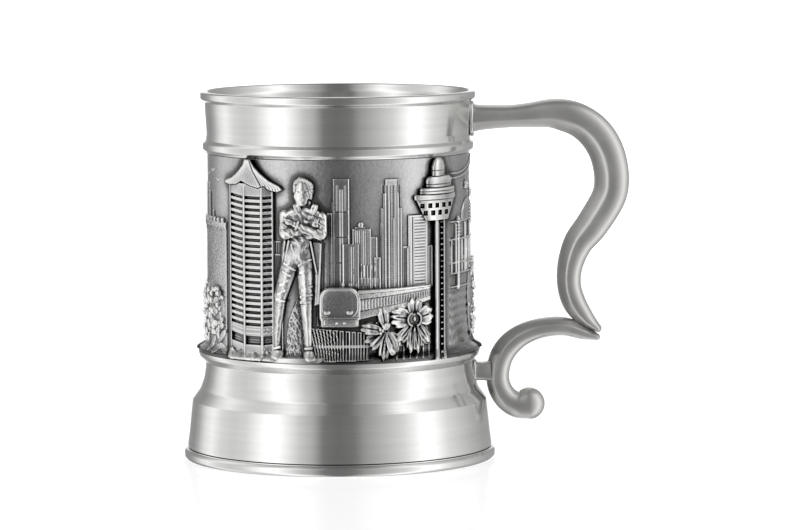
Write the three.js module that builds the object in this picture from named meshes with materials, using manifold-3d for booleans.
// A footed tankard in pewter, standing on the XY plane with its cup's axis on Z and its handle along +X.
// Millimetres, +Z up. Turned rings carry two half-round relief panels, and separate castings are soldered
// to the panels and to the back of the cup. Touching pieces keep a gap of SOLDER_GAP between them.

import * as THREE from 'three';
import { mergeVertices } from 'three/addons/utils/BufferGeometryUtils.js';
import Module from 'manifold-3d';

const wasm = await Module();
wasm.setup();

// Driving dimensions -------------------------------------------------------------------------------------

const SIDES = 48;              // facets round the cup
const SOLDER_GAP = 0.3;        // film of solder between two pieces
const CUP_RADIUS = 43.6;       // inside of the cup
const WALL_RADIUS = 45.1;      // ground of the relief panels
const PANEL_BASE = 40.3;       // lower edge of the relief panels
const PANEL_TOP = 105.4;       // upper edge of the relief panels
const RIM_TOP = 127;           // overall height
const LIP_RADIUS = 46.25;      // centre of the rolled lip
const LIP_ROLL = 1.2;          // radius of the rolled lip
const BEAD_CREST = 46.75;      // crest of the bead under the collar
const SKIRT_CREST = 48.63;     // crest of the skirt's lip
const SKIRT_BREAK = 50.9;      // radius where the cove meets the cone
const FOOT_RADIUS = 52;        // centre of the foot ring's roll
const FOOT_ROLL = 1.86;        // radius of the foot ring's roll
const FLOOR_LEVEL = 30.4;      // top of the cup's floor
const PLATE_RADIUS = 49.6;     // base plate
const PLATE_THICKNESS = 1.6;
const HANDLE_WIDTH = 11;       // upper scroll, across the handle
const SCROLL_WIDTH = 9.6;      // lower scroll, across the handle
const STRUT_WIDTH = 7;
const ROOT_DEPTH = 1;          // how far a low block reaches into its panel

// Finishes -----------------------------------------------------------------------------------------------

const satinPewter = () => new THREE.MeshStandardMaterial({ color: 0xc9cac8, roughness: 0.3, metalness: 1 });
const reliefPewter = () => new THREE.MeshStandardMaterial({ color: 0x8d8e8b, roughness: 0.45, metalness: 1 });
const castPewter = () => new THREE.MeshStandardMaterial({ color: 0xa6a5a0, roughness: 0.55, metalness: 1 });
const solderPewter = () => new THREE.MeshStandardMaterial({ color: 0xd6d6d4, roughness: 0.25, metalness: 1 });

// Solids -------------------------------------------------------------------------------------------------

// A closed three.js geometry as a solid, with its faces turned outwards.
function solid(geometry) {
  const bare = geometry.clone();
  bare.deleteAttribute('normal');
  bare.deleteAttribute('uv');
  const merged = mergeVertices(bare, 1e-4);
  const place = merged.getAttribute('position');
  const corners = [];
  let volume = 0;
  const a = new THREE.Vector3();
  const b = new THREE.Vector3();
  const c = new THREE.Vector3();
  for (let i = 0; i < merged.index.count; i += 3) {
    const [p, q, r] = [0, 1, 2].map((k) => merged.index.getX(i + k));
    if (p === q || q === r || r === p) continue;
    volume += a.fromBufferAttribute(place, p).dot(
      b.fromBufferAttribute(place, q).cross(c.fromBufferAttribute(place, r)));
    corners.push([p, q, r]);
  }
  if (volume < 0) corners.forEach((face) => face.reverse());
  const triVerts = new Uint32Array(corners.flat());
  return new wasm.Manifold(new wasm.Mesh({ numProp: 3, vertProperties: place.array, triVerts }));
}

const join = (solids) => solids.reduce((whole, piece) => whole.add(piece));

// A named mesh made from a solid, without the crumbs that cutting its neighbours away can leave.
function piece(name, body, material) {
  const [largest] = body.decompose().sort((one, other) => other.volume() - one.volume());
  const mesh = largest.getMesh();
  const geometry = new THREE.BufferGeometry();
  geometry.setAttribute('position', new THREE.BufferAttribute(new Float32Array(mesh.vertProperties), 3));
  geometry.setIndex(new THREE.BufferAttribute(new Uint32Array(mesh.triVerts), 1));
  geometry.computeVertexNormals();
  const part = new THREE.Mesh(geometry, material);
  part.name = name;
  return part;
}

// A ring or disc turned about Z from a closed profile of [radius, height] points.
function turned(profile, sides = SIDES) {
  const points = profile.map(([r, z]) => new THREE.Vector2(r, z));
  points.push(points[0].clone());
  return solid(new THREE.LatheGeometry(points, sides).rotateX(Math.PI / 2));
}

// Points on an arc about [radius, height], from one angle to another in degrees, 0 pointing outwards.
function arc([r, z], roll, from, to, steps) {
  return Array.from({ length: steps + 1 }, (_, i) => {
    const angle = THREE.MathUtils.degToRad(from + ((to - from) * i) / steps);
    return [r + roll * Math.cos(angle), z + roll * Math.sin(angle)];
  });
}

// Moves a geometry drawn with X along the wall, Y up and Z outwards on to the cup's wall, at a distance
// along the wall from the front, a height, and a distance out from the wall.
function onWall(geometry, along, height, out = 0) {
  const angle = along / WALL_RADIUS;
  const radius = WALL_RADIUS + out;
  const tangent = new THREE.Vector3(Math.cos(angle), Math.sin(angle), 0);
  const outward = new THREE.Vector3(Math.sin(angle), -Math.cos(angle), 0);
  const frame = new THREE.Matrix4().makeBasis(tangent, new THREE.Vector3(0, 0, 1), outward);
  frame.setPosition(outward.x * radius, outward.y * radius, height);
  return solid(geometry.clone().applyMatrix4(frame));
}

const wallClearance = turned([[0, 0], [WALL_RADIUS + SOLDER_GAP, 0], [WALL_RADIUS + SOLDER_GAP, RIM_TOP],
  [0, RIM_TOP]]);

// A casting soldered to the wall: its solids joined and hollowed to the wall's curve.
const casting = (solids) => join(solids).subtract(wallClearance);

// Turned body --------------------------------------------------------------------------------------------

const lipCentre = [LIP_RADIUS, RIM_TOP - LIP_ROLL];
const rimCollar = turned([
  [CUP_RADIUS, PANEL_TOP + SOLDER_GAP],
  [WALL_RADIUS + 0.5, PANEL_TOP + SOLDER_GAP],
  ...arc([BEAD_CREST - 1.9, 107.9], 1.9, -45, 45, 4),
  [45.4, 110.3],
  [45.4, 112],
  [45.77, 119],
  [45.96, 124],
  ...arc(lipCentre, LIP_ROLL, -40, 180, 8),
  [CUP_RADIUS + 0.7, 124.6],
  [CUP_RADIUS, 122.5],
]);

const footSkirt = turned([
  [CUP_RADIUS, PANEL_BASE - SOLDER_GAP],
  [45.4, PANEL_BASE - SOLDER_GAP],
  [47.3, 39.1],
  ...arc([SKIRT_CREST - 1.3, 37.3], 1.3, 40, -80, 5),
  [46.35, 34.6],
  [46.3, 31],
  [46.64, 28.8],
  [47.4, 26.1],
  [48.6, 23.3],
  [49.67, 21.9],
  [SKIRT_BREAK, 20.4],
  [51.05, 19],
  [51.8, 12.2],
  [52.65, 5.2],
  [52.7, 4.2],
  [50.9, 4.2],
  [50.1, 12],
  [49.2, 19],
  [47.6, 21.4],
  [45.4, 25],
  [44.6, 28.2],
  [41.5, 28.2],
  [41.5, 28.7],
  [CUP_RADIUS, 28.7],
]);

const footRing = turned([
  [PLATE_RADIUS + SOLDER_GAP, 0],
  [FOOT_RADIUS, 0],
  ...arc([FOOT_RADIUS, FOOT_ROLL], FOOT_ROLL, -60, 60, 6),
  [52.5, 3.9],
  [PLATE_RADIUS + SOLDER_GAP, 3.9],
]);

const basePlate = turned([[0, 0], [PLATE_RADIUS, 0], [PLATE_RADIUS, PLATE_THICKNESS], [0, PLATE_THICKNESS]]);

const floorRadius = CUP_RADIUS - SOLDER_GAP;
const cupFloor = turned([
  [0, 29],
  [floorRadius, 29],
  [floorRadius, FLOOR_LEVEL + 0.5],
  [floorRadius - 1, FLOOR_LEVEL],
  [0, FLOOR_LEVEL],
]);

// Relief panels ------------------------------------------------------------------------------------------

// A low block on the wall, from base to top, bent round the wall in strips where it is wide.
const STRIP = 6;

function block({ along, width, base, top, depth }, grow = 0) {
  const strips = Math.ceil(width / STRIP);
  const pitch = width / strips;
  const spread = 1 + (depth + grow) / WALL_RADIUS;
  const shape = new THREE.BoxGeometry(
    pitch * spread + 2 * grow + 0.05, top - base + 2 * grow, depth + ROOT_DEPTH + grow);
  return join(Array.from({ length: strips }, (_, i) => onWall(
    shape, along - width / 2 + pitch * (i + 0.5), (base + top) / 2, (depth - ROOT_DEPTH + grow) / 2)));
}

const frontBlocks = [
  { along: -54, width: 19, base: 42, top: 84, depth: 0.7 },      // fort wall
  { along: -3, width: 7, base: 64, top: 87.5, depth: 0.5 },      // tower blocks, left to right
  { along: 1.6, width: 5.8, base: 64, top: 99.2, depth: 0.7 },
  { along: 8.2, width: 6.6, base: 64, top: 83, depth: 0.6 },
  { along: 18.7, width: 7.4, base: 64, top: 90, depth: 0.8 },
  { along: 18.7, width: 4.8, base: 64, top: 99, depth: 0.7 },
  { along: 29.2, width: 7.8, base: 63.6, top: 86.4, depth: 0.8 },
  { along: 4, width: 24, base: 41, top: 48.6, depth: 0.6 },      // viaduct
  { along: 58.5, width: 8, base: 60, top: 84, depth: 0.5 },      // domed hall
];

// The back panel's buildings: a terrace of shop-houses and a clock tower, mirrored about the back.
const halfRound = Math.PI * WALL_RADIUS;
const backBlocks = [
  { along: halfRound, width: 11, base: 41, top: 96, depth: 0.9 },
  ...[14, 24, 34, 44].flatMap((step, i) => [-1, 1].map((side) => (
    { along: halfRound + side * step, width: 9, base: 41, top: 76 - 4 * (i % 2), depth: 0.6 }))),
  ...[-1, 1].map((side) => (
    { along: halfRound + side * 57, width: 12, base: 41, top: 60, depth: 0.6 })),
];

const drum = turned([[CUP_RADIUS, PANEL_BASE], [WALL_RADIUS, PANEL_BASE], [WALL_RADIUS, PANEL_TOP],
  [CUP_RADIUS, PANEL_TOP]]);

// Half of the drum on one side of the seams, which stand at the handle and opposite it.
function reliefPanel(side, blocks) {
  const half = new THREE.BoxGeometry(120, 60, 120);
  half.translate(0, side * (30 + SOLDER_GAP / 2), 60);
  const [first, ...rest] = [drum, ...blocks.map((shape) => block(shape))];
  return rest.reduce((whole, next) => whole.add(next), first).intersect(solid(half));
}

const skylineClearance = join([...frontBlocks, ...backBlocks].map((shape) => block(shape, SOLDER_GAP)));
const raised = (solids) => casting(solids).subtract(skylineClearance);

// Castings on the front panel ----------------------------------------------------------------------------

// A prism on the wall with its section drawn as [along, out] points.
function wallPrism(section, along, base, top) {
  const outline = new THREE.Shape(section.map(([x, out]) => new THREE.Vector2(x, -out)));
  const prism = new THREE.ExtrudeGeometry(outline, { depth: top - base, bevelEnabled: false });
  prism.rotateX(-Math.PI / 2);
  return onWall(prism, along, base);
}

// A turned shape standing on the wall, flattened towards it.
function wallTurned(profile, along, flatten, sides = 16) {
  const points = profile.map(([r, z]) => new THREE.Vector2(r, z));
  const shape = new THREE.LatheGeometry(points, sides).scale(1, 1, flatten);
  return onWall(shape, along, 0);
}

// An egg on the wall: half sizes along, up and out.
function egg(along, height, [halfAlong, halfUp, halfOut], out = 0) {
  const shape = new THREE.SphereGeometry(1, 8, 6).scale(halfAlong, halfUp, halfOut);
  return onWall(shape, along, height, out);
}

// A limb on the wall between two [along, height, radius] ends.
function limb([a0, z0, r0], [a1, z1, r1], out = 0.4) {
  const length = Math.hypot(a1 - a0, z1 - z0);
  const shape = new THREE.CylinderGeometry(r1, r0, length, 10).scale(1, 1, 0.8);
  shape.rotateZ(-Math.atan2(a1 - a0, z1 - z0));
  return onWall(shape, (a0 + a1) / 2, (z0 + z1) / 2, out);
}

const PAGODA_ALONG = -32;
const pagodaTower = raised([
  wallPrism([[-9.9, -2], [-9.9, 0.3], [-4.6, 2.6], [3.4, 2.6], [9.4, 0.3], [9.4, -2]],
    PAGODA_ALONG, 40.6, 97),
  wallTurned([[0, 95.5], [10.5, 95.3], [12.6, 96.4], [8.4, 98], [4.6, 100.6], [1.6, 104.2], [0, 105.3]],
    PAGODA_ALONG, 0.36, 8),
]);

const FIGURE_ALONG = -11.6;
const standingFigure = raised([
  egg(FIGURE_ALONG + 0.3, 95, [3.2, 4.6, 3.2], 0.6),
  limb([FIGURE_ALONG, 79, 4.2], [FIGURE_ALONG, 91, 3]),
  egg(FIGURE_ALONG, 85, [7.6, 6.4, 2.6]),
  limb([FIGURE_ALONG - 7, 81.5, 2.2], [FIGURE_ALONG + 3, 79.6, 2], 1.2),
  limb([FIGURE_ALONG + 7, 80.6, 2.2], [FIGURE_ALONG - 4, 84, 1.8], 1.2),
  egg(FIGURE_ALONG + 0.4, 72, [5.6, 9.5, 2.2]),
  limb([FIGURE_ALONG - 7.6, 43.6, 1.6], [FIGURE_ALONG - 2.6, 69, 3.2]),
  limb([FIGURE_ALONG + 2.4, 43.2, 1.6], [FIGURE_ALONG + 2.2, 69, 3.2]),
  limb([FIGURE_ALONG + 4.2, 57.2, 0.8], [FIGURE_ALONG + 3.4, 77, 2.2], 0.2),
  egg(FIGURE_ALONG - 8.6, 42.6, [2.8, 1.5, 2.2], 0.8),
  egg(FIGURE_ALONG + 2, 42.4, [1.8, 1.5, 2.2], 0.9),
  wallTurned([[0, 40.5], [10.4, 40.5], [10.4, 41.6], [0, 41.6]], FIGURE_ALONG - 2.8, 0.24, 24),
]);

const TOWER_ALONG = 39;
const HEAD_ALONG = 42;
const controlTower = raised([
  wallPrism([[-2.6, -1], [-2.6, 1.6], [2.6, 1.6], [2.6, -1]], TOWER_ALONG, 40.6, 84),
  wallTurned([[0, 83.2], [7.2, 83.2], [7.9, 84.2], [11.2, 90.8], [11, 92], [0, 92]], TOWER_ALONG + 1, 0.24),
  wallTurned([[0, 91.6], [7.6, 91.6], [7.6, 93.9], [5.9, 94.6], [5.9, 98], [4.6, 98.8], [0, 98.8]],
    HEAD_ALONG, 0.34),
  wallTurned([[0, 98.4], [2.5, 98.4], [2.6, 102.4], [1.8, 104.4], [0, 105.2]], HEAD_ALONG + 0.6, 0.9),
]);

// The train's front, and its ribbed side in steps as it recedes to the right.
const trainBlocks = [
  { along: 0.9, width: 14.6, base: 49.6, top: 61.4, depth: 2 },
  { along: 0.9, width: 11, base: 49.6, top: 62.8, depth: 1.8 },
  { along: 13, width: 9.6, base: 52.4, top: 62.2, depth: 1.7 },
  { along: 22.8, width: 10, base: 54.6, top: 62.6, depth: 1.4 },
  { along: 31, width: 7.2, base: 56.6, top: 63, depth: 1.2 },
];
const trainCar = raised(trainBlocks.map((shape) => block(shape)));
const trainClearance = join(trainBlocks.map((shape) => block(shape, SOLDER_GAP)));

// A bloom: three narrow petals, two broad ones and a frilled lip round a raised throat.
function bloom(along, height, radius) {
  const petals = [90, 215, 325].map((degrees) => ({ degrees, broad: 0.3 }));
  petals.push({ degrees: 22, broad: 0.42 }, { degrees: 158, broad: 0.42 }, { degrees: 270, broad: 0.36 });
  const shapes = petals.map(({ degrees, broad }) => {
    const shape = new THREE.SphereGeometry(1, 8, 6).scale(radius * 0.52, radius * broad, 1.7);
    shape.translate(radius * 0.47, 0, 0);
    shape.rotateZ(THREE.MathUtils.degToRad(degrees));
    return onWall(shape, along, height, 1.6);
  });
  shapes.push(egg(along, height, [radius * 0.28, radius * 0.28, 1.6], 2));
  return casting(shapes);
}

const upperBloomSolid = bloom(27, 51.6, 7.2).subtract(trainClearance).subtract(skylineClearance);
const lowerBloomShape = bloom(15.2, 47.6, 6.6).subtract(trainClearance).subtract(skylineClearance);

// Clears a piece from a neighbour of about the same thickness, by the neighbour shifted four ways.
function clearOf(body, neighbour) {
  const shifts = [[1, 0, 0], [-1, 0, 0], [0, 1, 0], [0, -1, 0], [0, 0, 1], [0, 0, -1]];
  return shifts.reduce((rest, shift) => rest.subtract(neighbour.translate(shift.map((v) => v * SOLDER_GAP))),
    body.subtract(neighbour));
}

const figureSolid = clearOf(standingFigure.subtract(trainClearance), pagodaTower);
const controlTowerSolid = controlTower.subtract(trainClearance);
const upperBloom = clearOf(upperBloomSolid, controlTowerSolid);
const lowerBloom = clearOf(lowerBloomShape, upperBloom);

// Castings at the two sides and on the back panel --------------------------------------------------------

// A clump of leaves between two heights, each leaf an egg beside the stem.
function leafClump(along, base, top, halfWidth, out) {
  const rows = 4;
  const leaves = [limb([along, base + 1, 1.9], [along, top - 1, 1.5])];
  for (let row = 0; row < rows; row += 1) {
    const height = base + 3.5 + ((top - base - 7) * row) / (rows - 1);
    const spread = halfWidth * (1 - 0.3 * (row / rows));
    leaves.push(egg(along - spread * 0.45, height, [spread * 0.6, 4.2, out]));
    leaves.push(egg(along + spread * 0.45, height + 1.5, [spread * 0.6, 4.2, out]));
  }
  return raised(leaves);
}

const leftLeaves = leafClump(-64, 43, 64, 6, 2.2);
const rightLeaves = leafClump(65.5, 43, 70, 5, 2.3);

const PALM_OFFSET = 49;
function palm(side) {
  const along = halfRound + side * PALM_OFFSET;
  const crown = 88;
  const fronds = [20, 62, 118, 160, 200, 340].map((degrees) => {
    const shape = new THREE.SphereGeometry(1, 8, 6).scale(5, 1.7, 1.5);
    shape.translate(4.4, 0, 0);
    shape.rotateZ(THREE.MathUtils.degToRad(degrees));
    return onWall(shape, along, crown, 0.9);
  });
  return raised([limb([along, 41.5, 1.9], [along, crown, 1.1]), ...fronds]);
}

// A sailing boat seen from the side: hull, mast and two sails.
function boat(along, base) {
  const hull = new THREE.Shape([[-8.5, 5], [-6.5, 0], [6, 0], [9.5, 5.4]].map(([x, y]) =>
    new THREE.Vector2(x, y)));
  const sail = (points) => new THREE.ExtrudeGeometry(
    new THREE.Shape(points.map(([x, y]) => new THREE.Vector2(x, y))), { depth: 2, bevelEnabled: false });
  const hullBody = new THREE.ExtrudeGeometry(hull, { depth: 2.6, bevelEnabled: false });
  return raised([
    onWall(hullBody, along, base, -0.6),
    onWall(new THREE.BoxGeometry(1, 22, 2.4), along, base + 15, 0.4),
    onWall(sail([[0.2, 7], [7.6, 8], [5.4, 22], [0.2, 25]]), along, base, -0.6),
    onWall(sail([[-0.2, 7], [-6.4, 8], [-4.6, 19], [-0.2, 21]]), along, base, -0.6),
  ]);
}

// Handle -------------------------------------------------------------------------------------------------

// Centre line of each scroll, as [x, z, half thickness].
const upperLine = [
  [45.2, 116.8, 4.7], [52, 117.1, 4.2], [58.8, 117.4, 3.9], [66, 117.8, 4.3], [73, 118.3, 5],
  [78, 117.6, 5.6], [83, 115.8, 5.8], [87.5, 112.5, 6], [90.9, 108.1, 6.1], [93.2, 102.6, 6.1],
  [94.2, 95.5, 6.05], [93, 89, 5.95], [87.6, 80, 5.7], [82.6, 73.4, 5.1], [79.9, 66, 4.4],
  [79.5, 59, 4.1], [81.3, 52.8, 4.2], [84.6, 48, 3.5], [89.8, 43.4, 1],
];
const lowerLine = [
  [89.2, 40.7, 0.9], [84.2, 42.5, 2.7], [77.5, 44.6, 3.2], [70, 44.1, 3.4], [63.6, 41.9, 3.7],
  [58.9, 38.4, 4.05], [55.9, 33.8, 4.05], [54.75, 28, 3.95], [55.5, 23.2, 4.1], [58, 19.4, 4.4],
  [61.7, 17.6, 4.9], [65.5, 17.8, 5.6],
];

// A limb's side outline: its centre line offset both ways by its half thickness, with a round end.
function scrollOutline(line, samples, grow = 0) {
  const centre = new THREE.CatmullRomCurve3(line.map(([x, z, half]) => new THREE.Vector3(x, z, half)));
  const near = [];
  const far = [];
  for (let i = 0; i <= samples; i += 1) {
    const t = i / samples;
    const at = centre.getPoint(t);
    const heading = centre.getTangent(t);
    const side = new THREE.Vector2(-heading.y, heading.x).normalize().multiplyScalar(at.z + grow);
    near.push(new THREE.Vector2(at.x + side.x, at.y + side.y));
    far.unshift(new THREE.Vector2(at.x - side.x, at.y - side.y));
  }
  const end = centre.getPoint(1);
  const last = centre.getTangent(1);
  const start = Math.atan2(last.x, -last.y);
  const cap = [1, 2, 3, 4, 5].map((k) => {
    const angle = start - (Math.PI * k) / 6;
    return new THREE.Vector2(
      end.x + (end.z + grow) * Math.cos(angle), end.y + (end.z + grow) * Math.sin(angle));
  });
  return [...near, ...cap, ...far];
}

// The outline given its width across the handle, with chamfered edges.
function scrollSolid(line, samples, width, grow = 0) {
  const chamfer = 1.4;
  const shape = new THREE.Shape(scrollOutline(line, samples, grow));
  const geometry = new THREE.ExtrudeGeometry(shape, {
    depth: width - 2 * chamfer,
    bevelThickness: chamfer,
    bevelSize: 0.8,
    bevelOffset: -0.8,
    bevelSegments: 1,
  });
  geometry.translate(0, 0, chamfer - width / 2);
  return solid(geometry.rotateX(Math.PI / 2));
}

// The soldered joint between the scrolls is a slanted plane through JOINT, tipped by JOINT_SLOPE.
const JOINT = [75.5, 49.2];
const JOINT_SLOPE = THREE.MathUtils.degToRad(-25.8);
function jointSide(side) {
  const box = new THREE.BoxGeometry(60, 60, 90).translate(0, 0, side * (45 - SOLDER_GAP / 2));
  box.rotateY(-JOINT_SLOPE);
  return solid(box.translate(JOINT[0], 0, JOINT[1]));
}

const collarClearance = turned([[0, 106], [46.1, 106], [46.1, 126], [0, 126]]);
const skirtClearance = turned([
  [0, 20.4], [51.3, 20.4], [49.9, 22.2], [48.9, 23.5], [47.7, 26.2], [46.95, 28.9], [46.6, 31],
  [46.6, 35.5], [0, 35.5],
]);

const upperScroll = scrollSolid(upperLine, 44, HANDLE_WIDTH)
  .subtract(collarClearance)
  .subtract(solid(new THREE.BoxGeometry(40, 40, 90).translate(45, 0, 5)))
  .subtract(jointSide(-1));
const lowerScroll = scrollSolid(lowerLine, 30, SCROLL_WIDTH).subtract(jointSide(1));

// The strut, and a bead of solder round each place where the handle meets the cup.
const STRUT_LEVEL = 29.2;
const STRUT_HEIGHT = 6.6;
const strutBox = (grow) => solid(new THREE.BoxGeometry(
  7, STRUT_WIDTH + 2 * grow, STRUT_HEIGHT + 2 * grow).translate(48.6, 0, STRUT_LEVEL));
const lowerClearance = scrollSolid(lowerLine, 30, SCROLL_WIDTH + 2 * SOLDER_GAP, SOLDER_GAP);
const strut = strutBox(0).subtract(skirtClearance).subtract(lowerClearance);

const BEAD_WIDTH = 0.9;
const strutBead = strutBox(BEAD_WIDTH)
  .subtract(strutBox(SOLDER_GAP))
  .subtract(skirtClearance)
  .intersect(skirtClearance.translate(1.1, 0, 0).add(skirtClearance));

const ROOT_LEVEL = 116.8;
const rootBox = (grow, out) => solid(new THREE.BoxGeometry(
  out, HANDLE_WIDTH + 2 * grow, 9.4 + 2 * grow).translate(46 + out / 2 - 1, 0, ROOT_LEVEL));
const rootBead = rootBox(BEAD_WIDTH, 2.1).subtract(rootBox(SOLDER_GAP, 6)).subtract(collarClearance);

// The tankard --------------------------------------------------------------------------------------------

const tankard = new THREE.Group();
tankard.add(
  piece('rim_collar', rimCollar, satinPewter()),
  piece('front_relief_panel', reliefPanel(-1, frontBlocks), reliefPewter()),
  piece('back_relief_panel', reliefPanel(1, backBlocks), reliefPewter()),
  piece('foot_skirt', footSkirt, satinPewter()),
  piece('foot_ring', footRing, satinPewter()),
  piece('base_plate', basePlate, satinPewter()),
  piece('cup_floor', cupFloor, satinPewter()),
  piece('pagoda_tower', pagodaTower, reliefPewter()),
  piece('standing_figure', figureSolid, reliefPewter()),
  piece('control_tower', controlTowerSolid, reliefPewter()),
  piece('train_car', trainCar, reliefPewter()),
  piece('upper_bloom', upperBloom, reliefPewter()),
  piece('lower_bloom', lowerBloom, reliefPewter()),
  piece('left_leaf_clump', leftLeaves, reliefPewter()),
  piece('right_leaf_clump', rightLeaves, reliefPewter()),
  piece('left_palm', palm(1), reliefPewter()),
  piece('right_palm', palm(-1), reliefPewter()),
  piece('left_boat', boat(halfRound + 29, 44), reliefPewter()),
  piece('right_boat', boat(halfRound - 29, 44), reliefPewter()),
  piece('handle_upper_scroll', upperScroll, castPewter()),
  piece('handle_lower_scroll', lowerScroll, castPewter()),
  piece('handle_strut', strut, castPewter()),
  piece('root_solder_bead', rootBead, solderPewter()),
  piece('strut_solder_bead', strutBead, solderPewter()),
);

export default tankard;
